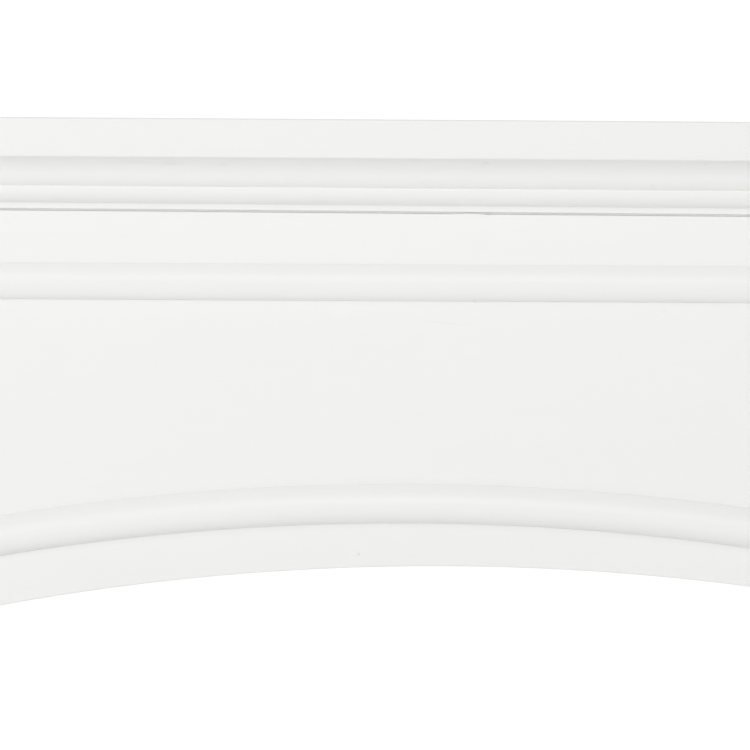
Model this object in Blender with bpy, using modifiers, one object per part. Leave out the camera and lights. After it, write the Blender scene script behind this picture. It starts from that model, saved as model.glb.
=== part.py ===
"""White painted wood mantelpiece: shelf, bed moulding, arched header, beads, legs and plinths.

Metres, +Z up, the front faces -Y, and the origin is on the floor at the middle of the piece.
"""
import bmesh
import bpy
from math import atan2, cos, hypot, pi, sin, sqrt, tan
from mathutils import Matrix, Vector

# Driving dimensions of the whole piece
HEIGHT = 1.040
OPENING_WIDTH = 0.860
LEG_WIDTH = 0.150
BODY_DEPTH = 0.150
BOARD = 0.018

# Shelf board
SHELF_THICKNESS = 0.022
SHELF_OVERHANG = 0.002
SHELF_ARRIS = 0.0012

# Bed moulding under the shelf, from the top down. The ogee is a belly with a hollow above it,
# and the turn is the angle in radians that its hollow curve bends through
OGEE_HEIGHT = 0.0156
OGEE_PROJECTION = 0.0128
OGEE_TURN = 0.80
BELLY_HEIGHT = 0.0066
BELLY_PROJECTION = 0.0044
LEDGE = 0.0014
OVOLO_HEIGHT = 0.0093
OVOLO_PROJECTION = 0.0075
FILLET_HEIGHT = 0.0034
FILLET_PROJECTION = 0.0020
JOINT_HEIGHT = 0.0010
JOINT_DEPTH = 0.0050

# Frieze, the bead under it, and the plain panel down to the arch bead's crown
FRIEZE_HEIGHT = 0.0280
FRIEZE_BEAD_WIDTH = 0.0214
FRIEZE_BEAD_PROJECTION = 0.0064
PANEL_HEIGHT = 0.1015

# Arch: its rise over the opening, the bead along it and the strip left below the bead
ARCH_RISE = 0.0699
ARCH_BEAD_WIDTH = 0.0228
ARCH_BEAD_PROJECTION = 0.0082
STRIP_WIDTH = 0.0237
# The bead was bent a little off centre: it sits this far left, and the sawn edge this far right
ARCH_SLIP = 0.0100

# A bead turns under at its foot and slopes away more gently above its crest, down to a small step.
# In both, 2 is the plain curve (a quarter ellipse, a parabola) and more is squarer. The step is a
# share of the projection
FOOT_FULLNESS = 1.9
HEAD_FULLNESS = 1.7
HEAD_STEP = 0.2

# Plinths at the feet
PLINTH_HEIGHT = 0.140
PLINTH_THICKNESS = 0.022
PLINTH_ROUND = 0.009

# Clearance between pieces that touch
GAP = 0.0003

# Steps along the curves
PROFILE_STEPS = 7
BEAD_STEPS = 14
ARCH_STEPS = 40
ARCH_CUTTER_SIDES = 360
# Length left over at a moulding's end before its mitre is cut
SPARE = 0.05

# Places worked out from the sizes above
half_opening = OPENING_WIDTH / 2
half_body = half_opening + LEG_WIDTH
ogee_foot = FILLET_PROJECTION + OVOLO_PROJECTION - LEDGE
cornice_reach = ogee_foot + OGEE_PROJECTION
shelf_reach = cornice_reach + SHELF_OVERHANG
shelf_depth = BODY_DEPTH + shelf_reach
back_y = shelf_depth / 2
face_y = back_y - BODY_DEPTH
shelf_bottom = HEIGHT - SHELF_THICKNESS
cornice_height = OGEE_HEIGHT + OVOLO_HEIGHT + FILLET_HEIGHT + JOINT_HEIGHT
body_top = shelf_bottom - cornice_height
frieze_bead_top = body_top - FRIEZE_HEIGHT
frieze_bead_bottom = frieze_bead_top - FRIEZE_BEAD_WIDTH
bead_outer_crown = frieze_bead_bottom - PANEL_HEIGHT
bead_inner_crown = bead_outer_crown - ARCH_BEAD_WIDTH
arch_crown = bead_inner_crown - STRIP_WIDTH
arch_radius = (half_opening ** 2 + ARCH_RISE ** 2) / (2 * ARCH_RISE)
arch_centre_z = arch_crown - arch_radius
bead_inner_radius = bead_inner_crown - arch_centre_z
bead_outer_radius = bead_outer_crown - arch_centre_z
bead_inner_x = half_opening + STRIP_WIDTH
bead_outer_x = bead_inner_x + ARCH_BEAD_WIDTH


def clear_scene():
    """Remove the objects that a new file starts with."""
    for item in list(bpy.data.objects):
        bpy.data.objects.remove(item, do_unlink=True)


def new_collection(name):
    """Add a collection to the scene."""
    collection = bpy.data.collections.new(name)
    bpy.context.scene.collection.children.link(collection)
    return collection


def white_paint(name):
    """Satin white paint on sanded wood."""
    material = bpy.data.materials.new(name + "_paint")
    material.use_nodes = True
    shader = material.node_tree.nodes["Principled BSDF"]
    shader.inputs["Base Color"].default_value = (0.86, 0.86, 0.845, 1.0)
    shader.inputs["Roughness"].default_value = 0.45
    shader.inputs["Metallic"].default_value = 0.0
    return material


def add_piece(name, solid, collection):
    """Turn a bmesh into a named object with its own paint."""
    bmesh.ops.recalc_face_normals(solid, faces=solid.faces)
    mesh = bpy.data.meshes.new(name)
    solid.to_mesh(mesh)
    solid.free()
    mesh.materials.append(white_paint(name))
    piece = bpy.data.objects.new(name, mesh)
    collection.objects.link(piece)
    return piece


def box_solid(low, high):
    """A cube primitive stretched between two corners."""
    low = Vector(low)
    high = Vector(high)
    solid = bmesh.new()
    place = Matrix.Translation((low + high) / 2) @ Matrix.Diagonal((high - low).to_4d())
    bmesh.ops.create_cube(solid, size=1.0, matrix=place)
    return solid


def clip(solid, point, normal):
    """Saw the solid along a plane, drop the side the normal points to, and close the cut."""
    everything = solid.verts[:] + solid.edges[:] + solid.faces[:]
    bmesh.ops.bisect_plane(solid, geom=everything, plane_co=point, plane_no=normal, clear_outer=True)
    bmesh.ops.holes_fill(solid, edges=[edge for edge in solid.edges if edge.is_boundary])


def arc_points(start, end, turn, steps):
    """Points after start, up to end, on the arc between them that turns left by turn radians."""
    run, rise = end[0] - start[0], end[1] - start[1]
    half_chord = hypot(run, rise) / 2
    radius = half_chord / sin(turn / 2)
    towards_centre = half_chord / tan(turn / 2) / (2 * half_chord)
    centre_x = (start[0] + end[0]) / 2 - rise * towards_centre
    centre_y = (start[1] + end[1]) / 2 + run * towards_centre
    from_centre = complex(start[0] - centre_x, start[1] - centre_y)
    points = []
    for step in range(1, steps):
        angle = turn * step / steps
        spoke = from_centre * complex(cos(angle), sin(angle))
        points.append((centre_x + spoke.real, centre_y + spoke.imag))
    points.append(end)
    return points


def bead_section(width, projection, steps):
    """Section of a bead from its foot up: (projection, height) points, flat side on the board."""
    half = steps // 2
    power = 2 / FOOT_FULLNESS
    section = [(GAP, 0.0)]
    for step in range(1, half + 1):
        angle = pi / 2 * step / half
        height = width / 2 * (1 - abs(cos(angle)) ** power)
        section.append((GAP + (projection - GAP) * sin(angle) ** power, height))
    for step in range(1, half + 1):
        share = step / half
        reach = (projection - GAP) * (1 - (1 - HEAD_STEP) * share ** HEAD_FULLNESS)
        section.append((GAP + reach, width / 2 * (1 + share)))
    return section + [(GAP, width)]


def cornice_section():
    """Section of the bed moulding, from the board's back edge out and up to the shelf."""
    fillet_bottom = JOINT_HEIGHT
    fillet_top = fillet_bottom + FILLET_HEIGHT
    ovolo_top = fillet_top + OVOLO_HEIGHT
    ogee_top = ovolo_top + OGEE_HEIGHT - GAP
    ogee_middle = (ogee_foot + BELLY_PROJECTION, ovolo_top + BELLY_HEIGHT)
    belly_lean = atan2(BELLY_PROJECTION, BELLY_HEIGHT)
    hollow_lean = atan2(OGEE_PROJECTION - BELLY_PROJECTION, OGEE_HEIGHT - BELLY_HEIGHT)
    belly_turn = OGEE_TURN - 2 * (hollow_lean - belly_lean)
    ovolo_head = (FILLET_PROJECTION + OVOLO_PROJECTION, ovolo_top)
    section = [(-BOARD, GAP), (-JOINT_DEPTH, GAP), (-JOINT_DEPTH, fillet_bottom)]
    section += [(FILLET_PROJECTION, fillet_bottom), (FILLET_PROJECTION, fillet_top)]
    section += arc_points(section[-1], ovolo_head, pi / 2, PROFILE_STEPS)
    section += [(ogee_foot, ovolo_top)]
    section += arc_points(section[-1], ogee_middle, belly_turn, PROFILE_STEPS)
    section += arc_points(section[-1], (cornice_reach, ogee_top), -OGEE_TURN, PROFILE_STEPS)
    section += [(-BOARD, ogee_top)]
    return section


def plinth_section():
    """Section of a plinth board with its top arris rounded over."""
    shoulder = (PLINTH_THICKNESS, PLINTH_HEIGHT - PLINTH_ROUND)
    brow = (PLINTH_THICKNESS - PLINTH_ROUND, PLINTH_HEIGHT)
    section = [(GAP, 0.0), (PLINTH_THICKNESS, 0.0), shoulder]
    return section + arc_points(shoulder, brow, pi / 2, PROFILE_STEPS) + [(GAP, PLINTH_HEIGHT)]


def extruded(section, start, end, out, up):
    """Push a section from start to end. out and up are the section's own two directions."""
    solid = bmesh.new()
    corners = [solid.verts.new(start + out * reach + up * height) for reach, height in section]
    face = solid.faces.new(corners)
    grown = bmesh.ops.extrude_face_region(solid, geom=[face])
    moved = [item for item in grown["geom"] if isinstance(item, bmesh.types.BMVert)]
    bmesh.ops.translate(solid, verts=moved, vec=end - start)
    return solid


def corner_cut(side, keep_front):
    """Mitre plane at a front corner of the body. side is -1 on the left and 1 on the right."""
    normal = Vector((side, 1.0, 0.0)).normalized()
    if not keep_front:
        normal = -normal
    return Vector((side * half_body, face_y, 0.0)) - normal * GAP / 2, normal


def wrapped_moulding(name, section, height, collection):
    """Run one section along the front and both sides of the body, mitred at the corners."""
    up = Vector((0, 0, 1))
    reach = Vector((half_body + SPARE, 0, 0))
    middle = Vector((0, face_y, height))
    front = extruded(section, middle - reach, middle + reach, Vector((0, -1, 0)), up)
    for side in (-1, 1):
        clip(front, *corner_cut(side, True))
    add_piece(name + "_front", front, collection)
    for side, word in ((-1, "left"), (1, "right")):
        ahead = Vector((side * half_body, face_y - SPARE, height))
        behind = Vector((side * half_body, back_y, height))
        length = extruded(section, ahead, behind, Vector((side, 0, 0)), up)
        clip(length, *corner_cut(side, False))
        add_piece(name + "_" + word, length, collection)


def springing_cut(side, keep_arch):
    """Mitre plane where the bent bead meets a straight one at the side of the opening."""
    bead_centre_x = -ARCH_SLIP
    inner_x = side * bead_inner_x
    outer_x = side * bead_outer_x
    inner_z = arch_centre_z + sqrt(bead_inner_radius ** 2 - (inner_x - bead_centre_x) ** 2)
    outer_z = arch_centre_z + sqrt(bead_outer_radius ** 2 - (outer_x - bead_centre_x) ** 2)
    along = Vector((outer_x - inner_x, 0, outer_z - inner_z)).normalized()
    normal = Vector((along.z * side, 0, -along.x * side))
    if not keep_arch:
        normal = -normal
    return Vector((inner_x, face_y, inner_z)) - normal * GAP / 2, normal


def add_shelf(collection):
    """The shelf board, its edges eased by a few strokes of sandpaper."""
    reach = half_body + shelf_reach
    solid = box_solid((-reach, back_y - shelf_depth, shelf_bottom), (reach, back_y, HEIGHT))
    shelf = add_piece("shelf_board", solid, collection)
    arris = shelf.modifiers.new("eased_arris", "BEVEL")
    arris.width = SHELF_ARRIS
    arris.segments = 2


def add_header(collection, cutters):
    """The header board between the legs, with the arch sawn out of its lower edge."""
    side_x = half_opening - GAP
    low = (-side_x, face_y, arch_crown - 2 * ARCH_RISE)
    solid = box_solid(low, (side_x, face_y + BOARD, body_top))
    header = add_piece("header_board", solid, collection)
    drum = bmesh.new()
    place = Matrix.Translation((ARCH_SLIP, face_y + BOARD / 2, arch_centre_z))
    place = place @ Matrix.Rotation(pi / 2, 4, "X")
    bmesh.ops.create_cone(drum, cap_ends=True, segments=ARCH_CUTTER_SIDES, radius1=arch_radius,
                          radius2=arch_radius, depth=BOARD + 2 * SPARE, matrix=place)
    cutter = add_piece("arch_cutter", drum, cutters)
    cutter.hide_render = True
    cutter.display_type = "WIRE"
    saw = header.modifiers.new("arch", "BOOLEAN")
    saw.operation = "DIFFERENCE"
    saw.object = cutter


def add_arch_bead(collection):
    """A bead bent along the arch: its section spun about the arch's centre."""
    centre = Vector((-ARCH_SLIP, face_y, arch_centre_z))
    spread = atan2(bead_outer_x + ARCH_SLIP + SPARE, bead_inner_radius - 2 * ARCH_RISE)
    section = bead_section(ARCH_BEAD_WIDTH, ARCH_BEAD_PROJECTION, BEAD_STEPS)
    spoke = Vector((-sin(spread), 0, cos(spread)))
    solid = bmesh.new()
    corners = []
    for reach, height in section:
        along_spoke = spoke * (bead_inner_radius + height)
        corners.append(solid.verts.new(centre + along_spoke - Vector((0, reach, 0))))
    face = solid.faces.new(corners)
    bmesh.ops.spin(solid, geom=[face] + face.edges[:] + face.verts[:], cent=centre, axis=(0, 1, 0),
                   angle=2 * spread, steps=ARCH_STEPS, use_duplicate=False)
    for side in (-1, 1):
        clip(solid, *springing_cut(side, True))
    add_piece("arch_bead", solid, collection)


def add_jamb_bead(side, word, collection):
    """A straight bead from the plinth up to the bent one."""
    section = bead_section(ARCH_BEAD_WIDTH, ARCH_BEAD_PROJECTION, BEAD_STEPS)
    foot = Vector((side * bead_inner_x, face_y, PLINTH_HEIGHT + GAP))
    head = Vector((side * bead_inner_x, face_y, bead_outer_crown))
    solid = extruded(section, foot, head, Vector((0, -1, 0)), Vector((side, 0, 0)))
    clip(solid, *springing_cut(side, False))
    add_piece("jamb_bead_" + word, solid, collection)


def add_leg(side, word, collection):
    """Three boards around a hollow leg that is open to the wall."""
    boards = {
        "leg_front_": ((half_opening, face_y, 0), (half_body, face_y + BOARD, body_top)),
        "leg_side_": ((half_body - BOARD, face_y + BOARD + GAP, 0), (half_body, back_y, body_top)),
        "leg_return_": ((half_opening, face_y + BOARD + GAP, 0),
                        (half_opening + BOARD, back_y, shelf_bottom - GAP)),
    }
    for name, (low, high) in boards.items():
        near_x, far_x = sorted((side * low[0], side * high[0]))
        solid = box_solid((near_x, low[1], low[2]), (far_x, high[1], high[2]))
        add_piece(name + word, solid, collection)


def add_plinth(side, word, collection):
    """Two plinth boards around the foot of a leg, mitred at its outer corner."""
    up = Vector((0, 0, 1))
    inner = Vector((side * half_opening, face_y, 0))
    outer = Vector((side * (half_body + SPARE), face_y, 0))
    front = extruded(plinth_section(), inner, outer, Vector((0, -1, 0)), up)
    clip(front, *corner_cut(side, True))
    add_piece("plinth_front_" + word, front, collection)
    ahead = Vector((side * half_body, face_y - SPARE, 0))
    behind = Vector((side * half_body, back_y, 0))
    length = extruded(plinth_section(), ahead, behind, Vector((side, 0, 0)), up)
    clip(length, *corner_cut(side, False))
    add_piece("plinth_side_" + word, length, collection)


def build():
    """Put the whole mantelpiece together."""
    clear_scene()
    parts = new_collection("mantelpiece")
    cutters = new_collection("cutters")
    add_shelf(parts)
    wrapped_moulding("cornice", cornice_section(), body_top, parts)
    add_header(parts, cutters)
    bead = bead_section(FRIEZE_BEAD_WIDTH, FRIEZE_BEAD_PROJECTION, BEAD_STEPS)
    wrapped_moulding("frieze_bead", bead, frieze_bead_bottom, parts)
    add_arch_bead(parts)
    for side, word in ((-1, "left"), (1, "right")):
        add_jamb_bead(side, word, parts)
        add_leg(side, word, parts)
        add_plinth(side, word, parts)


build()
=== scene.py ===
# %% [markdown]
# # A white painted wood mantelpiece
#
# A joiner makes a mantelpiece from flat boards and lengths of moulding, then paints the lot. The
# boards are plain. All of the character is in the mouldings: the small bed moulding under the
# shelf, the rounded bead across the frieze, and the same bead bent along the arch.
#
# The imported model already holds every piece at its real size. This lesson dresses it: finer
# mouldings whose arrises are softened by paint, boards with eased edges, and a satin paint with
# the brush marks and small faults of real work, and painted shade and a painted highlight on
# small nibs of paint.

# %% Load the imported frame
from collections import namedtuple
from math import atan2, cos, pi, sin, sqrt, tan

import bmesh
import bpy
from mathutils import Matrix, Vector


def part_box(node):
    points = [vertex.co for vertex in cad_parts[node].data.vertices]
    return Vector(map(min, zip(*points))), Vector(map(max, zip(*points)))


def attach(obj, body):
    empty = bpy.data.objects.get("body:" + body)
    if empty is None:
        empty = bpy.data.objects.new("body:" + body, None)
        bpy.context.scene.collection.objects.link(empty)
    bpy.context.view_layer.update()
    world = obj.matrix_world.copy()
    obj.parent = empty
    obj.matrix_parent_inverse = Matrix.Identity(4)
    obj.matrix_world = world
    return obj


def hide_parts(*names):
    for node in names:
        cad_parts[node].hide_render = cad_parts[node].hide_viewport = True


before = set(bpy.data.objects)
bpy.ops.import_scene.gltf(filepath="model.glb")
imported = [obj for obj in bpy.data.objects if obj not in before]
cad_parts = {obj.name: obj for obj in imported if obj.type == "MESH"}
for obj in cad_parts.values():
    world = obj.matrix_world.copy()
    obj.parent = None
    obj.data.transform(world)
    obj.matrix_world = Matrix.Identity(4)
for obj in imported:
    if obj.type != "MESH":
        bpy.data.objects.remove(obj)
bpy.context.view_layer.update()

print("nodes in the frame:", len(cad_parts))

# %% [markdown]
# ## Sizes
#
# Places come from the frame, so the pieces land where the construction says. A few sizes of the
# mouldings are written out again, because a box of a whole length doesn't hold them. Where the
# construction leaves a hair of air between two pieces, paint closes it, so the pieces here sink
# into each other by a tenth of a millimetre instead.

# %% Sizes, in metres
BOARD = 0.018
OGEE_PROJECTION = 0.0128
OGEE_HEIGHT = 0.0156
OGEE_TURN = 0.80
BELLY_HEIGHT = 0.0066
BELLY_PROJECTION = 0.0044
LEDGE = 0.0014
OVOLO_HEIGHT = 0.0093
OVOLO_PROJECTION = 0.0075
FILLET_HEIGHT = 0.0034
FILLET_PROJECTION = 0.0020
JOINT_HEIGHT = 0.0010
PAINTED_JOINT_DEPTH = 0.0012
FRIEZE_BEAD_WIDTH = 0.0214
FRIEZE_BEAD_PROJECTION = 0.0064
ARCH_RISE = 0.0699
ARCH_BEAD_WIDTH = 0.0228
ARCH_BEAD_PROJECTION = 0.0082
ARCH_SLIP = 0.0100
STRIP_WIDTH = 0.0237
PLINTH_THICKNESS = 0.022
PLINTH_ROUND = 0.009
SUNK = 0.0001

header_low, header_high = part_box("header_board")
shelf_low, shelf_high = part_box("shelf_board")
face_y = header_low.y
back_y = shelf_high.y
body_top = header_high.z
half_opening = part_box("leg_front_right")[0].x
half_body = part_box("leg_front_right")[1].x
plinth_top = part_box("plinth_front_right")[1].z
cornice_height = shelf_low.z - body_top
frieze_bead_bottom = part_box("frieze_bead_front")[0].z
bead_outer_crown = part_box("arch_bead")[1].z
bead_inner_crown = bead_outer_crown - ARCH_BEAD_WIDTH
arch_crown = bead_inner_crown - STRIP_WIDTH
arch_radius = (half_opening ** 2 + ARCH_RISE ** 2) / (2 * ARCH_RISE)
arch_centre_z = arch_crown - arch_radius
bead_inner_radius = bead_inner_crown - arch_centre_z
bead_outer_radius = bead_outer_crown - arch_centre_z
bead_inner_x = half_opening + STRIP_WIDTH
bead_outer_x = bead_inner_x + ARCH_BEAD_WIDTH
print("arch radius %.3f m, crown at %.3f m" % (arch_radius, arch_crown))

# %% [markdown]
# ## Where the photo was taken from
#
# The photo is a close view of the middle of the header, square on, taken from two or three metres
# away. Every level line falls a little to the right, so the picture is turned by less than half a
# degree. The same numbers serve twice: the camera uses them at the end, and here they turn a pixel
# of the photo into a place on the boards, so that small faults of the paint, and the painted shade
# on the nibs, land where they were.

# %% The view
METRES_PER_PIXEL = 0.00056
PHOTO_SIDE = 750
VIEW_DISTANCE = 2.6
VIEW_CENTRE = (-0.033, 0.8981)
VIEW_ROLL = 0.0066


def photo_place(column, row, reach=0.0):
    """The x and z of a pixel of the photo, on a surface that stands out from the boards by reach."""
    across, down = column - PHOTO_SIDE / 2, row - PHOTO_SIDE / 2
    scale = METRES_PER_PIXEL * (VIEW_DISTANCE - reach) / VIEW_DISTANCE
    right = across * cos(VIEW_ROLL) + down * sin(VIEW_ROLL)
    under = down * cos(VIEW_ROLL) - across * sin(VIEW_ROLL)
    return VIEW_CENTRE[0] + scale * right, VIEW_CENTRE[1] - scale * under


print("the photo's middle lies at x %.3f, z %.3f" % photo_place(375, 375))

# %% [markdown]
# ## One way to write node trees
#
# Shader trees and geometry trees are both sockets joined by links. A small class wraps an output
# socket, so that sums are written as plain expressions and each one adds its Math node. The other
# class adds any node: its type, its settings, then the values or links of its sockets.


# %% Sockets that do arithmetic
class Wire:
    """One output socket of a node, with the operators that this lesson uses."""

    def __init__(self, graph, socket):
        self.graph = graph
        self.socket = socket

    def other(self, name):
        """Another output of the same node."""
        return Wire(self.graph, self.socket.node.outputs[name])

    def __add__(self, value):
        return self.graph.maths("ADD", self, value)

    def __radd__(self, value):
        return self.graph.maths("ADD", value, self)

    def __sub__(self, value):
        return self.graph.maths("SUBTRACT", self, value)

    def __rsub__(self, value):
        return self.graph.maths("SUBTRACT", value, self)

    def __mul__(self, value):
        return self.graph.maths("MULTIPLY", self, value)

    def __truediv__(self, value):
        return self.graph.maths("DIVIDE", self, value)

    def __pow__(self, value):
        return self.graph.maths("POWER", self, value)

    def __lt__(self, value):
        return self.graph.maths("LESS_THAN", self, value)


class Graph:
    """A node tree that is being written."""

    def __init__(self, tree):
        self.tree = tree

    def node(self, kind, settings=None, inputs=None, output=0):
        """Add a node, set it up, fill its sockets, and return one of its outputs."""
        made = self.tree.nodes.new(kind)
        for name, value in (settings or {}).items():
            setattr(made, name, value)
        for name, value in (inputs or {}).items():
            self.fill(made.inputs[name], value)
        return Wire(self, made.outputs[output]) if len(made.outputs) else made

    def fill(self, socket, value):
        """Link a wire to a socket, or set the socket's own value."""
        if isinstance(value, Wire):
            self.tree.links.new(value.socket, socket)
        else:
            socket.default_value = value

    def maths(self, operation, *values):
        """A Math node."""
        return self.node("ShaderNodeMath", {"operation": operation}, dict(enumerate(values)))

    def vector(self, operation, *values):
        """A Vector Math node."""
        return self.node("ShaderNodeVectorMath", {"operation": operation}, dict(enumerate(values)))

    def blend(self, share, first, second):
        """A Mix node on colours."""
        settings = {"data_type": "RGBA"}
        return self.node("ShaderNodeMix", settings, {"Factor": share, 6: first, 7: second}, output=2)


# %% [markdown]
# ## Small faults of the paint, with painted shade and highlight
#
# From a step away the photo shows a handful of faults in the finish: a speck on the strip under
# the arch bead, a scratch below the frieze bead, a nick at the open joint, and nibs of dried paint
# in the hollow under the shelf. Each is a soft oval at its place. It darkens or pales the paint,
# and it stands up or dips by a fraction of a millimetre. On the nibs and lumps in the hollow and
# on the nib at the foot of the frieze bead, the darker tone is painted shade: the hollow's uneven
# shadow and their own shaded sides. The one pale oval is a painted highlight on a nib's lit side.
# In the list, the place is in pixels of the photo, sizes are in metres, the tilt is in radians,
# and the tone is a share of the dust-and-shade colour.

# %% List of faults, with painted shade and highlight
Oval = namedtuple("Oval", "column row reach half_length half_height tilt tone rise")
HOLLOW_REACH = 0.020
FAULTS_AND_PAINTED_SHADE = {
    "speck_on_strip": Oval(358.6, 554.2, 0.0, 0.0009, 0.0012, 0.0, 0.45, 0.0),
    "chip_by_speck": Oval(354.5, 553.4, 0.0, 0.0016, 0.0010, 0.3, -0.05, -0.00005),
    "nick_at_joint": Oval(488.5, 214.0, 0.0, 0.0026, 0.0006, 0.0, 0.60, -0.0003),
    # Painted shade: this nib's darker tone is the shade at the foot of the frieze bead.
    "bead_foot_nib_with_painted_shade": Oval(475.6, 300.8, 0.004, 0.0016, 0.0012, 0.0, 0.06, 0.0002),
    "scratch_on_panel": Oval(447.0, 323.4, 0.0, 0.0150, 0.0007, 0.10, 0.09, -0.00005),
    "smudge_on_panel": Oval(664.0, 310.0, 0.0, 0.0024, 0.0014, 0.4, 0.08, 0.00005),
    # Painted shade in the hollow under the shelf: these small lumps stand up a little, and their darker
    # tone is the hollow's uneven shadow and their shaded sides. The pale one is a painted highlight on a
    # nib's lit side.
    "hollow_nib_with_painted_shade": Oval(223.5, 163.6, HOLLOW_REACH, 0.0020, 0.0012, 0.3, 0.10, 0.0002),
    "hollow_nib_with_painted_highlight": Oval(218.0, 163.8, HOLLOW_REACH, 0.0018, 0.0012, 0.5, -0.08, 0.0002),
    "hollow_lump_with_painted_shade": Oval(173.0, 162.2, HOLLOW_REACH, 0.0085, 0.0014, 0.0, 0.08, 0.0002),
    "hollow_long_lump_with_painted_shade": Oval(137.0, 161.0, HOLLOW_REACH, 0.0120, 0.0016, 0.05, 0.05, 0.0002),
    "right_middle_nib_with_painted_shade": Oval(486.0, 162.6, HOLLOW_REACH, 0.0024, 0.0010, 0.0, 0.14, 0.0002),
    "left_middle_nib_with_painted_shade": Oval(301.0, 162.4, HOLLOW_REACH, 0.0026, 0.0012, 0.4, 0.05, 0.0002),
    "far_right_nib_with_painted_shade": Oval(706.5, 163.6, HOLLOW_REACH, 0.0016, 0.0014, 0.0, 0.10, 0.0002),
    "dent_on_belly": Oval(652.0, 185.6, 0.012, 0.0022, 0.0009, 0.1, 0.10, -0.0001),
}
print("faults in the paint:", len(FAULTS_AND_PAINTED_SHADE))

# %% [markdown]
# ## Satin paint
#
# The whole piece is brush-painted in one white. Under a soft light such a white is never one flat
# tone: the brush leaves fine streaks along each board, the film is a little thicker here and
# thinner there, and it has a slight orange peel. All of that is worked out from the place on the
# object, in metres, so the marks keep their real size on every piece. The streaks have to follow
# the brush, so each piece says which way it was painted, and round the arch the place is turned
# into a distance along the bend and a distance from its centre.

# %% The paint
WHITE = (0.8785, 0.880, 0.866, 1.0)
# Grey that the white is blended towards: for brush streaks, film, specks and dust, and for the painted
# shade on the nibs.
DUST_AND_SHADE = (0.60, 0.59, 0.56, 1.0)
TONE_SWING = 0.04
TONE_BASE = 0.02
PAINT_ROUGHNESS = 0.42
FILM_GLOSS = 0.12
STREAK_GLOSS = 0.06
STREAK_LENGTH = 0.12
STREAK_WIDTH = 0.0022
PEEL_SIZE = 0.0016
FILM_WAVES = 9.0
MILLIMETRE = 0.001
BRUSH_RELIEF = 0.2 * MILLIMETRE
BRUSH_STRENGTH = 0.2
STREAK_SHARE = 0.7


def brush_place(graph, place, way):
    """The place on the object, turned so that its X runs along the brush strokes."""
    if way == "arch":
        parts = graph.node("ShaderNodeSeparateXYZ", None, {"Vector": place})
        across = parts + ARCH_SLIP
        above = parts.other("Z") - arch_centre_z
        radius = (across * across + above * above) ** 0.5
        along = graph.maths("ARCTAN2", across, above) * bead_inner_radius
        return graph.node("ShaderNodeCombineXYZ", None, {"X": along, "Y": parts.other("Y"), "Z": radius})
    turns = {"x": (0.0, 0.0, 0.0), "y": (0.0, 0.0, pi / 2), "z": (0.0, pi / 2, 0.0)}
    return graph.node("ShaderNodeMapping", None, {"Vector": place, "Rotation": turns[way]})


def oval_mask(graph, place, fault):
    """A soft oval: one at its middle, nothing past its edge."""
    x, z = photo_place(fault.column, fault.row, fault.reach)
    fitted = {"Vector": place, "Location": (x, 0.0, z), "Rotation": (0.0, fault.tilt, 0.0),
              "Scale": (fault.half_length, 1.0, fault.half_height)}
    local = graph.node("ShaderNodeMapping", {"vector_type": "TEXTURE"}, fitted)
    flat = graph.vector("MULTIPLY", local, (1.0, 0.0, 1.0))
    distance = graph.vector("LENGTH", flat).other("Value")
    return graph.maths("MAXIMUM", 1.0 - distance * distance, 0.0)


def faults(graph, place):
    """The tone and the height, in millimetres, of all the faults together, the tone with the painted shade
    and highlight of the nibs. They lie on the front.
    """
    parts = graph.node("ShaderNodeSeparateXYZ", None, {"Vector": place})
    front = parts.other("Y") < face_y + MILLIMETRE
    tone, height = 0.0, 0.0
    for fault in FAULTS_AND_PAINTED_SHADE.values():
        mask = oval_mask(graph, place, fault) * front
        tone = mask * fault.tone + tone
        height = mask * (fault.rise / MILLIMETRE) + height
    return tone, height


def satin_paint(way, with_faults_and_shade=False):
    """Satin white, brushed along one way."""
    material = bpy.data.materials.new("satin_white_brushed_" + way)
    material.use_nodes = True
    graph = Graph(material.node_tree)
    shader = material.node_tree.nodes["Principled BSDF"]
    place = graph.node("ShaderNodeTexCoord", output="Object")
    stretch = (1 / STREAK_LENGTH, 1 / STREAK_WIDTH, 1 / STREAK_WIDTH)
    stroked = graph.vector("MULTIPLY", brush_place(graph, place, way), stretch)
    streaks = graph.node("ShaderNodeTexNoise", None, {"Vector": stroked, "Scale": 1.0, "Detail": 3.0})
    film = graph.node("ShaderNodeTexNoise", None, {"Vector": place, "Scale": FILM_WAVES, "Detail": 2.0})
    peel = graph.node("ShaderNodeTexNoise", None, {"Vector": place, "Scale": 1 / PEEL_SIZE, "Detail": 1.0})
    tone = (streaks - 0.5) * TONE_SWING + (film - 0.5) * TONE_SWING + TONE_BASE
    brushed = streaks * STREAK_SHARE + peel * (1 - STREAK_SHARE)
    relief = {"Strength": BRUSH_STRENGTH, "Distance": BRUSH_RELIEF, "Height": brushed}
    normal = graph.node("ShaderNodeBump", None, relief)
    if with_faults_and_shade:
        # Specks, scratches and dust, and painted shade and a painted highlight on the nibs.
        fault_and_shade_tone, fault_height = faults(graph, place)
        tone = tone + fault_and_shade_tone
        nibs = {"Distance": MILLIMETRE, "Height": fault_height, "Normal": normal}
        normal = graph.node("ShaderNodeBump", None, nibs)
    colour = graph.blend(graph.maths("MAXIMUM", tone, 0.0), WHITE, DUST_AND_SHADE)
    roughness = PAINT_ROUGHNESS + (film - 0.5) * FILM_GLOSS + (streaks - 0.5) * STREAK_GLOSS
    graph.fill(shader.inputs["Base Color"], colour)
    graph.fill(shader.inputs["Roughness"], roughness)
    graph.fill(shader.inputs["Normal"], normal)
    return material


PAINT = {way: satin_paint(way, way == "x") for way in ("x", "y", "z", "arch")}
print("paints:", sorted(PAINT))

# %% [markdown]
# ## Undercoat on the hidden sides
#
# Nobody finishes the inside of a hollow leg. The backs get one thin coat, so the grain of the wood
# shows through it and the surface stays matt. The grain runs along each board: level on the shelf
# and the header, upright on the legs.


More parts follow.
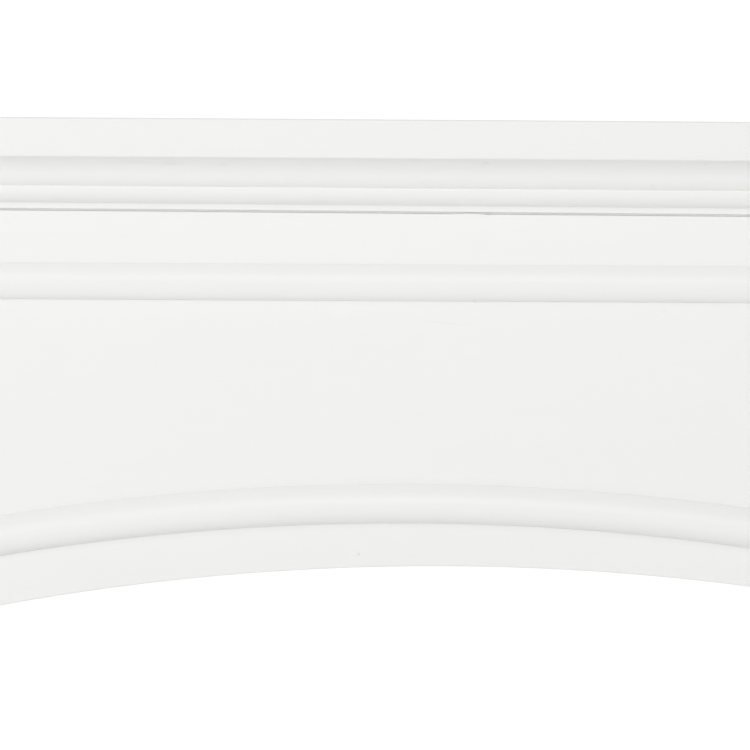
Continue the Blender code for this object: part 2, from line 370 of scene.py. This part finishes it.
# %% The undercoat
PRIMER = (0.80, 0.78, 0.72, 1.0)
WOOD = (0.68, 0.64, 0.55, 1.0)
PRIMER_ROUGHNESS = 0.75
ALONG_GRAIN = 5.0
ACROSS_GRAIN = 70.0
GRAIN_RELIEF = 0.3 * MILLIMETRE
GRAIN_STRENGTH = 0.3


def undercoat(way):
    """Thin matt primer over straight-grained wood, whose grain runs along one way."""
    material = bpy.data.materials.new("thin_undercoat_grain_" + way)
    material.use_nodes = True
    graph = Graph(material.node_tree)
    shader = material.node_tree.nodes["Principled BSDF"]
    place = graph.node("ShaderNodeTexCoord", output="Object")
    stretch = [ALONG_GRAIN if axis == way else ACROSS_GRAIN for axis in "xyz"]
    drawn_out = graph.vector("MULTIPLY", place, stretch)
    grain = graph.node("ShaderNodeTexNoise", None, {"Vector": drawn_out, "Scale": 1.0, "Detail": 4.0})
    graph.fill(shader.inputs["Base Color"], graph.blend(grain, PRIMER, WOOD))
    shader.inputs["Roughness"].default_value = PRIMER_ROUGHNESS
    bump = {"Strength": GRAIN_STRENGTH, "Distance": GRAIN_RELIEF, "Height": grain}
    graph.fill(shader.inputs["Normal"], graph.node("ShaderNodeBump", None, bump))
    return material


UNDERCOAT = {way: undercoat(way) for way in ("x", "z")}
print("undercoats:", sorted(UNDERCOAT))

# %% [markdown]
# ## Sections of the mouldings
#
# A moulding is one outline pushed along a line, so the outline is what matters. Each is drawn with
# arcs, as a cutter grinder would set it out: reach is how far a point stands out from the board,
# height how far up it is. A paint film rounds every sharp corner and fills every sharp crease, so
# the outline is walked in quarter-millimetre steps and each point is drawn towards its neighbours
# a few times, or once on a bead.
#
# The beads aren't true half-rounds. In the photo their upper edges are only a soft change of tone
# while their feet end in a dark line. So the bead turns under at its foot, slopes away gently
# above its crest, and ends there in a small step. Paint has run into the crease along each edge,
# so the edges that show lie a little inside the bead's width.

# %% Drawing a section
PAINT_STEP = 0.00025
CORNER_PASSES = 3
BEAD_PASSES = 1
BEAD_STEPS = 32
FOOT_FULLNESS = 1.9
HEAD_FULLNESS = 1.7
HEAD_STEP = 0.2
FOOT_INSET = 0.0003
HEAD_INSET = 0.0007
ARC_STEP = 0.06
LEAST_STEPS = 3


def arc_points(start, end, turn):
    """Points after start, up to end, on the arc between them that turns left by turn radians."""
    steps = max(LEAST_STEPS, round(abs(turn) / ARC_STEP))
    run, rise = end[0] - start[0], end[1] - start[1]
    pull = 1 / (2 * tan(turn / 2))
    centre = complex((start[0] + end[0]) / 2 - rise * pull, (start[1] + end[1]) / 2 + run * pull)
    spoke = complex(*start) - centre
    points = []
    for step in range(1, steps):
        angle = turn * step / steps
        point = centre + spoke * complex(cos(angle), sin(angle))
        points.append((point.real, point.imag))
    return points + [end]


def paint_over(path, passes=CORNER_PASSES):
    """The same outline, softened as under paint. Its ends stay put."""
    walked = [Vector(path[0])]
    for first, second in zip(path, path[1:]):
        first, second = Vector(first), Vector(second)
        steps = max(1, round((second - first).length / PAINT_STEP))
        walked += [first.lerp(second, step / steps) for step in range(1, steps + 1)]
    for _ in range(passes):
        three = zip(walked, walked[1:], walked[2:])
        drawn = [(a + 2 * b + c) / 4 for a, b, c in three]
        walked = [walked[0]] + drawn + [walked[-1]]
    return [tuple(point) for point in walked]


def bead_section(width, projection):
    """A bead that turns under at its foot and slopes away gently above its crest, to a step."""
    crest = width / 2
    power = 2 / FOOT_FULLNESS
    front = [(-SUNK, FOOT_INSET - 2 * SUNK)]
    for step in range(BEAD_STEPS + 1):
        angle = pi / 2 * step / BEAD_STEPS
        under = (crest - FOOT_INSET) * abs(cos(angle)) ** power
        front.append((projection * sin(angle) ** power, crest - under))
    for step in range(1, BEAD_STEPS + 1):
        share = step / BEAD_STEPS
        reach = projection * (1 - (1 - HEAD_STEP) * share ** HEAD_FULLNESS)
        front.append((reach, crest + (crest - HEAD_INSET) * share))
    return paint_over(front + [(-SUNK, width - HEAD_INSET)], BEAD_PASSES)


def bed_moulding():
    """The ogee, ovolo and fillet under the shelf, over an open joint."""
    fillet_top = JOINT_HEIGHT + FILLET_HEIGHT
    ovolo_top = fillet_top + OVOLO_HEIGHT
    ogee_top = ovolo_top + OGEE_HEIGHT + SUNK
    ogee_foot = FILLET_PROJECTION + OVOLO_PROJECTION - LEDGE
    ogee_middle = (ogee_foot + BELLY_PROJECTION, ovolo_top + BELLY_HEIGHT)
    ogee_head = (ogee_foot + OGEE_PROJECTION, ogee_top)
    belly_lean = atan2(BELLY_PROJECTION, BELLY_HEIGHT)
    hollow_lean = atan2(ogee_head[0] - ogee_middle[0], ogee_head[1] - ogee_middle[1])
    belly_turn = OGEE_TURN - 2 * (hollow_lean - belly_lean)
    front = [(-PAINTED_JOINT_DEPTH, SUNK), (-PAINTED_JOINT_DEPTH, JOINT_HEIGHT)]
    front += [(FILLET_PROJECTION, JOINT_HEIGHT), (FILLET_PROJECTION, fillet_top)]
    front += arc_points(front[-1], (ogee_foot + LEDGE, ovolo_top), pi / 2)
    front += [(ogee_foot, ovolo_top)]
    front += arc_points(front[-1], ogee_middle, belly_turn)
    front += arc_points(front[-1], ogee_head, -OGEE_TURN)
    return [(-BOARD, SUNK)] + paint_over(front) + [(-BOARD, ogee_top)]


def plinth():
    """A plinth board with its top arris rounded over."""
    shoulder = (PLINTH_THICKNESS, plinth_top - PLINTH_ROUND)
    brow = (PLINTH_THICKNESS - PLINTH_ROUND, plinth_top)
    front = [(PLINTH_THICKNESS, 0.0), shoulder] + arc_points(shoulder, brow, pi / 2)
    return [(-SUNK, 0.0)] + front + [(-SUNK, plinth_top)]


print("points in the bed moulding's section:", len(bed_moulding()))

# %% [markdown]
# ## Running a moulding in Geometry Nodes
#
# A spindle cutter pushes one section along one path. Geometry Nodes say exactly that: the object
# holds only the section, the tree makes the path and sweeps the section along it. Straight lengths
# follow a line, and their ends are sheared to a mitre by moving each end point along the run by
# its own reach. The bent bead follows an arc. Both trees have their sizes as named inputs.
#
# Hand-fixed mouldings aren't dead level either. In the photo the foot of the bed moulding drops to
# the right while the frieze bead climbs, by one to three millimetres in a metre, so the straight
# tree can tilt the foot and the head of a length, fading out towards its corners.


# %% Trees that sweep a section
ARC_POINTS = 1000


def new_tree(name, sizes):
    """A geometry tree with a geometry socket, named size inputs and a material input."""
    tree = bpy.data.node_groups.new(name, "GeometryNodeTree")
    tree.interface.new_socket("Section", in_out="INPUT", socket_type="NodeSocketGeometry")
    for size in sizes:
        tree.interface.new_socket(size, in_out="INPUT", socket_type="NodeSocketFloat")
    tree.interface.new_socket("Material", in_out="INPUT", socket_type="NodeSocketMaterial")
    tree.interface.new_socket("Moulding", in_out="OUTPUT", socket_type="NodeSocketGeometry")
    graph = Graph(tree)
    return graph, graph.node("NodeGroupInput")


def sweep(graph, entry, path):
    """Sweep the section that comes in along a path, with closed ends."""
    even = {"Curve": path, "Length": entry.other("Spacing")}
    path = graph.node("GeometryNodeResampleCurve", {"mode": "LENGTH"}, even)
    path = graph.node("GeometryNodeSetCurveNormal", {"mode": "Z_UP"}, {"Curve": path})
    section = graph.node("GeometryNodeMeshToCurve", None, {"Mesh": entry.other("Section")})
    ends = {"Curve": path, "Profile Curve": section, "Fill Caps": True}
    return graph.node("GeometryNodeCurveToMesh", None, ends)


def close_tree(graph, entry, mesh):
    """End the tree with real geometry that carries its material."""
    real = graph.node("GeometryNodeRealizeInstances", None, {"Geometry": mesh})
    coat = {"Geometry": real, "Material": entry.other("Material")}
    painted = graph.node("GeometryNodeSetMaterial", None, coat)
    graph.node("NodeGroupOutput", None, {"Moulding": painted})
    return graph.tree


def straight_tree():
    """A straight length along +X, facing -Y, with a mitre of its own at each end."""
    sizes = ["Length", "Height", "Spacing", "Start Mitre", "End Mitre", "Foot Skew", "Head Skew"]
    graph, entry = new_tree("straight_moulding", sizes)
    length = entry.other("Length")
    head = graph.node("ShaderNodeCombineXYZ", None, {"X": length})
    mesh = sweep(graph, entry, graph.node("GeometryNodeCurvePrimitiveLine", None, {"End": head}))
    parts = graph.node("ShaderNodeSeparateXYZ", None, {"Vector": graph.node("GeometryNodeInputPosition")})
    share = parts.other("X") / length
    lean = (1.0 - share) * entry.other("Start Mitre") - share * entry.other("End Mitre")
    from_middle = share * 2.0 - 1.0
    height = parts.other("Z") / entry.other("Height")
    skew = (1.0 - height) * entry.other("Foot Skew") + height * entry.other("Head Skew")
    drop = from_middle * (1.0 - from_middle * from_middle) * length * 0.5 * skew
    moves = {"X": parts.other("Y") * lean, "Z": drop * -1.0}
    shift = graph.node("ShaderNodeCombineXYZ", None, moves)
    mesh = graph.node("GeometryNodeSetPosition", None, {"Geometry": mesh, "Offset": shift})
    return close_tree(graph, entry, mesh)


def bent_tree():
    """A length bent along an arc over the opening, facing -Y, with its centre at the origin."""
    graph, entry = new_tree("bent_moulding", ["Radius", "Spread", "Spacing"])
    spread = entry.other("Spread")
    arc = {"Resolution": ARC_POINTS, "Radius": entry.other("Radius"),
           "Start Angle": pi / 2 - spread, "Sweep Angle": spread * 2.0}
    mesh = sweep(graph, entry, graph.node("GeometryNodeCurveArc", {"mode": "RADIUS"}, arc))
    upright = {"Geometry": mesh, "Rotation": (pi / 2, 0.0, 0.0)}
    mesh = graph.node("GeometryNodeTransform", None, upright)
    return close_tree(graph, entry, mesh)


STRAIGHT = straight_tree()
BENT = bent_tree()
print("trees:", STRAIGHT.name, BENT.name)


# %% Using a tree
WELD = 1e-6
CREASE_ANGLE = 0.6
RUN_SPACING = 0.015
UP = Vector((0, 0, 1))


def new_piece(name, mesh):
    """An object at the origin that holds a mesh."""
    piece = bpy.data.objects.new(name, mesh)
    bpy.context.scene.collection.objects.link(piece)
    return piece


def mesh_from(name, solid):
    """A plain mesh from a bmesh, which is freed."""
    mesh = bpy.data.meshes.new(name)
    solid.to_mesh(mesh)
    solid.free()
    return mesh


def section_piece(name, corners):
    """An object that holds only a closed outline."""
    count = len(corners)
    mesh = bpy.data.meshes.new(name)
    edges = [(index, (index + 1) % count) for index in range(count)]
    mesh.from_pydata([(across, up, 0.0) for across, up in corners], edges, [])
    return new_piece(name, mesh)


def apply_tree(piece, tree, values):
    """Run a tree on an object and keep the result as its plain mesh."""
    modifier = piece.modifiers.new(tree.name, "NODES")
    modifier.node_group = tree
    for item in tree.interface.items_tree:
        if item.in_out == "INPUT" and item.name in values:
            modifier[item.identifier] = values[item.name]
    depsgraph = bpy.context.evaluated_depsgraph_get()
    made = bpy.data.meshes.new_from_object(piece.evaluated_get(depsgraph), depsgraph=depsgraph)
    piece.modifiers.clear()
    piece.data = made


def finish_piece(piece, nodes):
    """Shade a piece, let it ride on the body, and let it stand for its nodes of the frame."""
    piece.data.shade_smooth()
    piece.data.set_sharp_from_angle(angle=CREASE_ANGLE)
    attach(piece, "root")
    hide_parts(*nodes)


def frame_axes(origin, along, up):
    """The turn and shift that carry +X to along and +Z to up."""
    turn = Matrix((along, up.cross(along), up)).transposed().to_4x4()
    return Matrix.Translation(origin) @ turn


def saw(piece, point, normal):
    """Cut a piece along a plane, drop the side the normal points to, and close the cut."""
    solid = bmesh.new()
    solid.from_mesh(piece.data)
    bmesh.ops.remove_doubles(solid, verts=solid.verts, dist=WELD)
    everything = solid.verts[:] + solid.edges[:] + solid.faces[:]
    bmesh.ops.bisect_plane(solid, geom=everything, plane_co=point, plane_no=normal, clear_outer=True)
    bmesh.ops.holes_fill(solid, edges=[edge for edge in solid.edges if edge.is_boundary])
    bmesh.ops.recalc_face_normals(solid, faces=solid.faces)
    solid.to_mesh(piece.data)
    solid.free()


def run_length(name, corners, start, end, up, height, paint, mitres=(0, 0), skews=(0, 0)):
    """One straight length of moulding from start to end. Its front is on the right as it runs."""
    piece = section_piece(name, [(reach, -rise) for reach, rise in reversed(corners)])
    sizes = {"Length": (end - start).length, "Height": height, "Spacing": RUN_SPACING,
             "Start Mitre": float(mitres[0]), "End Mitre": float(mitres[1]),
             "Foot Skew": float(skews[0]), "Head Skew": float(skews[1]), "Material": PAINT[paint]}
    apply_tree(piece, STRAIGHT, sizes)
    piece.data.transform(frame_axes(start, (end - start).normalized(), up))
    return piece


# %% [markdown]
# ## The bed moulding and the frieze bead
#
# Both wrap the body: one length along the front and one back along each side, mitred where they
# meet. The front length is drawn from corner to corner on the board's face. Its points move out
# along the run by as much as they stand out from the board, which is what a 45 degree mitre is.

# %% Mouldings wrapped round three sides
FOOT_SKEW = 0.0025
BEAD_SKEW = -0.0013


def wrap(word, corners, foot, height, skews):
    """The front, left and right lengths of one moulding."""
    left = Vector((-half_body, face_y, foot))
    right = Vector((half_body, face_y, foot))
    to_wall = Vector((0, back_y - face_y, 0))
    runs = {
        "_front": (left, right, "x", (1, 1), skews),
        "_left": (left + to_wall, left, "y", (0, 1), (0, 0)),
        "_right": (right, right + to_wall, "y", (1, 0), (0, 0)),
    }
    for way, (start, end, paint, mitres, tilts) in runs.items():
        piece = run_length(word + way + "_run", corners, start, end, UP, height, paint, mitres, tilts)
        finish_piece(piece, [word + way])
        print(piece.name, len(piece.data.polygons), "faces")


wrap("cornice", bed_moulding(), body_top, cornice_height, (FOOT_SKEW, 0))
frieze_bead = bead_section(FRIEZE_BEAD_WIDTH, FRIEZE_BEAD_PROJECTION)
wrap("frieze_bead", frieze_bead, frieze_bead_bottom, FRIEZE_BEAD_WIDTH, (BEAD_SKEW, BEAD_SKEW))

# %% [markdown]
# ## The bead round the opening
#
# Steam or saw kerfs let a bead bend to the arch. It was pinned a centimetre off centre,
# so the strip below it is wider on the left than on the right, as in the photo. At the springing
# the bent bead meets a straight one on a mitre through the two corners of the bead.

# %% Bent bead and straight beads
SPARE_ANGLE = 0.05
BEND_SPACING = 0.006


def springing_cut(side, keep_arch):
    """Mitre plane where the bent bead meets a straight one."""
    inner_x, outer_x = side * bead_inner_x, side * bead_outer_x
    inner_z = arch_centre_z + sqrt(bead_inner_radius ** 2 - (inner_x + ARCH_SLIP) ** 2)
    outer_z = arch_centre_z + sqrt(bead_outer_radius ** 2 - (outer_x + ARCH_SLIP) ** 2)
    normal = Vector((side * (outer_z - inner_z), 0, -side * (outer_x - inner_x))).normalized()
    return Vector((inner_x, face_y, inner_z)), normal if keep_arch else -normal


bead = bead_section(ARCH_BEAD_WIDTH, ARCH_BEAD_PROJECTION)
arch_bead = section_piece("arch_bead_bent", [(rise, -reach) for reach, rise in bead])
spread = atan2(bead_outer_x + ARCH_SLIP, bead_inner_radius - ARCH_RISE) + SPARE_ANGLE
bend = {"Radius": bead_inner_radius, "Spread": spread, "Spacing": BEND_SPACING, "Material": PAINT["arch"]}
apply_tree(arch_bead, BENT, bend)
arch_bead.data.transform(Matrix.Translation((-ARCH_SLIP, face_y, arch_centre_z)))
for side in (-1, 1):
    saw(arch_bead, *springing_cut(side, True))
finish_piece(arch_bead, ["arch_bead"])

for side, word in ((-1, "left"), (1, "right")):
    foot = Vector((side * bead_inner_x, face_y, plinth_top - SUNK))
    head = Vector((side * bead_inner_x, face_y, bead_outer_crown))
    ends = (foot, head) if side < 0 else (head, foot)
    outward = Vector((side, 0, 0))
    piece = run_length("jamb_bead_%s_run" % word, bead, *ends, outward, ARCH_BEAD_WIDTH, "z")
    saw(piece, *springing_cut(side, False))
    finish_piece(piece, ["jamb_bead_" + word])
print("bent bead:", len(arch_bead.data.polygons), "faces")

# %% [markdown]
# ## The header board
#
# One flat board with the arch sawn out of its lower edge. Its outline is a flat face pushed back
# by the board's thickness, and its front arrises are eased with a bevel, as sandpaper leaves them.
# Its top edge follows the foot of the bed moulding, so the open joint keeps its width, except for
# a stretch where paint has bridged it.

# %% Header board
HEADER_STEPS = 220
EASED = 0.0007
SHARP_ANGLE = 0.5
ARRIS_SEGMENTS = 3
FACING = 0.9
BRIDGE_COLUMN = 471
BRIDGE_ROW = 212
BRIDGE_HALF_LENGTH = 0.010
BRIDGE_HEIGHT = 0.0004


def ease_edges(piece, width, wanted, segments=ARRIS_SEGMENTS):
    """Bevel the sharp edges that the test picks, and keep the result as a plain mesh."""
    solid = bmesh.new()
    solid.from_mesh(piece.data)
    picked = [edge for edge in solid.edges if edge.calc_face_angle(0) > SHARP_ANGLE and wanted(edge)]
    bmesh.ops.bevel(solid, geom=picked, offset=width, segments=segments, profile=0.5, affect="EDGES")
    solid.to_mesh(piece.data)
    solid.free()


def joint_edge(x):
    """Height of the header's top edge, under the foot of the bed moulding."""
    drop = FOOT_SKEW * x * (1 - (x / half_body) ** 2)
    from_bridge = (x - photo_place(BRIDGE_COLUMN, BRIDGE_ROW)[0]) / BRIDGE_HALF_LENGTH
    return body_top - drop + BRIDGE_HEIGHT * max(0.0, 1 - from_bridge ** 2)


def arch_edge(x):
    """Height of the sawn arch, whose centre is a centimetre to the right."""
    return arch_centre_z + sqrt(arch_radius ** 2 - (x - ARCH_SLIP) ** 2)


def header_outline():
    """The board's outline seen from the front: the arch from left to right, the top edge back."""
    places = [header_low.x + (header_high.x - header_low.x) * step / HEADER_STEPS
              for step in range(HEADER_STEPS + 1)]
    return [(x, arch_edge(x)) for x in places] + [(x, joint_edge(x)) for x in reversed(places)]


def board_from_outline(name, outline, front_y, thickness):
    """Push a flat outline back from its front face."""
    solid = bmesh.new()
    face = solid.faces.new([solid.verts.new((x, front_y, z)) for x, z in outline])
    grown = bmesh.ops.extrude_face_region(solid, geom=[face])
    moved = [item for item in grown["geom"] if isinstance(item, bmesh.types.BMVert)]
    bmesh.ops.translate(solid, verts=moved, vec=(0, thickness, 0))
    bmesh.ops.recalc_face_normals(solid, faces=solid.faces)
    return new_piece(name, mesh_from(name, solid))


def coat(piece, paint, hidden):
    """Paint a board, with undercoat on the faces that the test calls hidden."""
    piece.data.materials.clear()
    piece.data.materials.append(PAINT[paint])
    piece.data.materials.append(UNDERCOAT[paint])
    for face in piece.data.polygons:
        face.material_index = 1 if hidden(face) else 0


def faces_wall(face):
    """A face that looks back at the wall."""
    return face.normal.y > FACING


header = board_from_outline("header_board_arched", header_outline(), face_y, BOARD)
ease_edges(header, EASED, lambda edge: all(abs(v.co.y - face_y) < SUNK for v in edge.verts))
coat(header, "x", faces_wall)
finish_piece(header, ["header_board"])
print("header faces:", len(header.data.polygons))

# %% [markdown]
# ## The other boards
#
# The shelf is a plain board with round arrises. The leg boards have the right shape already, so
# each gets a copy of its own mesh with the loose triangles merged back into flat faces and the
# edges eased. Faces that look into the hollow of a leg, or at the wall, take the undercoat. The
# plinths are run like the mouldings.

# %% Shelf, legs and plinths
SHELF_ROUND = 0.0012
SHELF_SEGMENTS = 5
FLAT_ANGLE = 0.02


def plain_board(name, low, high):
    """A board with square edges between two corners."""
    solid = bmesh.new()
    place = Matrix.Translation((low + high) / 2) @ Matrix.Diagonal((high - low).to_4d())
    bmesh.ops.create_cube(solid, size=1.0, matrix=place)
    return new_piece(name, mesh_from(name, solid))


def leg_board(node, paint, hidden):
    """One board of a leg, from the frame's own mesh, with soft arrises and its coats of paint."""
    solid = bmesh.new()
    solid.from_mesh(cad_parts[node].data)
    bmesh.ops.remove_doubles(solid, verts=solid.verts, dist=WELD)
    bmesh.ops.dissolve_limit(solid, angle_limit=FLAT_ANGLE, verts=solid.verts, edges=solid.edges)
    piece = new_piece(node + "_eased", mesh_from(node, solid))
    ease_edges(piece, EASED, lambda edge: True)
    coat(piece, paint, hidden)
    finish_piece(piece, [node])


shelf = plain_board("shelf_board_rounded", shelf_low, shelf_high)
ease_edges(shelf, SHELF_ROUND, lambda edge: min(v.co.y for v in edge.verts) < 0, SHELF_SEGMENTS)
coat(shelf, "x", faces_wall)
finish_piece(shelf, ["shelf_board"])

for side, word in ((-1, "left"), (1, "right")):
    leg_board("leg_front_" + word, "z", faces_wall)
    leg_board("leg_side_" + word, "z", lambda face: faces_wall(face) or face.normal.x * side < -FACING)
    leg_board("leg_return_" + word, "z", lambda face: faces_wall(face) or face.normal.x * side > FACING)
    inner = Vector((side * half_opening, face_y, 0))
    corner = Vector((side * half_body, face_y, 0))
    wall = Vector((side * half_body, back_y, 0))
    runs = {"plinth_front_": (inner, corner, (0, 1), "x"), "plinth_side_": (corner, wall, (1, 0), "y")}
    for name, (start, end, mitres, paint) in runs.items():
        if side < 0:
            start, end, mitres = end, start, mitres[::-1]
        piece = run_length(name + word + "_run", plinth(), start, end, UP, plinth_top, paint, mitres)
        finish_piece(piece, [name + word])
print("boards done")

# %% [markdown]
# ## Floor, light and camera
#
# The photo was taken square on, close up, against pure white. A soft white sky gives more than
# half of the light. Two large soft lamps, the left one stronger, and a weaker one above give the
# flat faces their slight fall of tone and the beads their bright crests. A faint lamp close in
# front lifts the middle, and one behind the piece lights its back for the other views. The camera
# sees the sky a little brighter than it lights the piece, because the white behind the piece was
# overexposed. The lens is long, and the camera is turned by the same small angle as the picture.

# %% Floor
FLOOR_HALF = 8.0
FLOOR_WHITE = (0.86, 0.86, 0.85, 1.0)
FLOOR_ROUGHNESS = 0.8
bpy.ops.mesh.primitive_plane_add(size=2 * FLOOR_HALF)
floor = bpy.context.object
floor.name = "pale_floor"
floor_paint = bpy.data.materials.new("pale_floor")
floor_paint.use_nodes = True
floor_shader = floor_paint.node_tree.nodes["Principled BSDF"]
floor_shader.inputs["Base Color"].default_value = FLOOR_WHITE
floor_shader.inputs["Roughness"].default_value = FLOOR_ROUGHNESS
floor.data.materials.append(floor_paint)

# %% Light
SKY_LIGHT = 0.55
SKY_SEEN = 1.03
LAMPS = {
    "left_lamp": ((-2.2, -1.8, 1.0), 1.0, 21.0),
    "right_lamp": ((2.2, -1.8, 1.0), 1.0, 12.2),
    "high_lamp": ((0.0, -2.0, 2.3), 1.0, 8.4),
    "near_lamp": ((-0.03, -1.3, 1.0), 0.6, 0.5),
    "back_lamp": ((0.9, 2.6, 1.9), 1.2, 12.0),
}


def white_sky():
    """A sky that looks pure white and lights the piece a little less than that."""
    world = bpy.data.worlds.new("white_studio")
    world.use_nodes = True
    graph = Graph(world.node_tree)
    seen = graph.node("ShaderNodeLightPath", output="Is Camera Ray")
    background = world.node_tree.nodes["Background"]
    background.inputs["Color"].default_value = (1.0, 1.0, 1.0, 1.0)
    graph.fill(background.inputs["Strength"], seen * (SKY_SEEN - SKY_LIGHT) + SKY_LIGHT)
    return world


def soft_lamp(name, place, size, power):
    """A square lamp aimed at the middle of the header, which the camera doesn't see."""
    lamp = bpy.data.lights.new(name, "AREA")
    lamp.size = size
    lamp.energy = power
    holder = bpy.data.objects.new(name, lamp)
    bpy.context.scene.collection.objects.link(holder)
    holder.location = place
    aim = Vector((0.0, face_y, VIEW_CENTRE[1])) - Vector(place)
    holder.rotation_euler = aim.to_track_quat("-Z", "Y").to_euler()
    holder.visible_camera = False


bpy.context.scene.world = white_sky()
bpy.context.scene.view_settings.view_transform = "Standard"
for name, (place, size, power) in LAMPS.items():
    soft_lamp(name, place, size, power)
print("sky light %.2f, lamps %d" % (SKY_LIGHT, len(LAMPS)))

# %% Camera
SENSOR = 36.0
lens = bpy.data.cameras.new("camera")
lens.sensor_width = SENSOR
lens.lens = SENSOR * VIEW_DISTANCE / (METRES_PER_PIXEL * PHOTO_SIDE)
camera = bpy.data.objects.new("camera", lens)
bpy.context.scene.collection.objects.link(camera)
camera.location = (VIEW_CENTRE[0], face_y - VIEW_DISTANCE, VIEW_CENTRE[1])
camera.rotation_euler = (pi / 2, -VIEW_ROLL, 0.0)
bpy.context.scene.camera = camera
print("lens %.0f mm" % lens.lens)
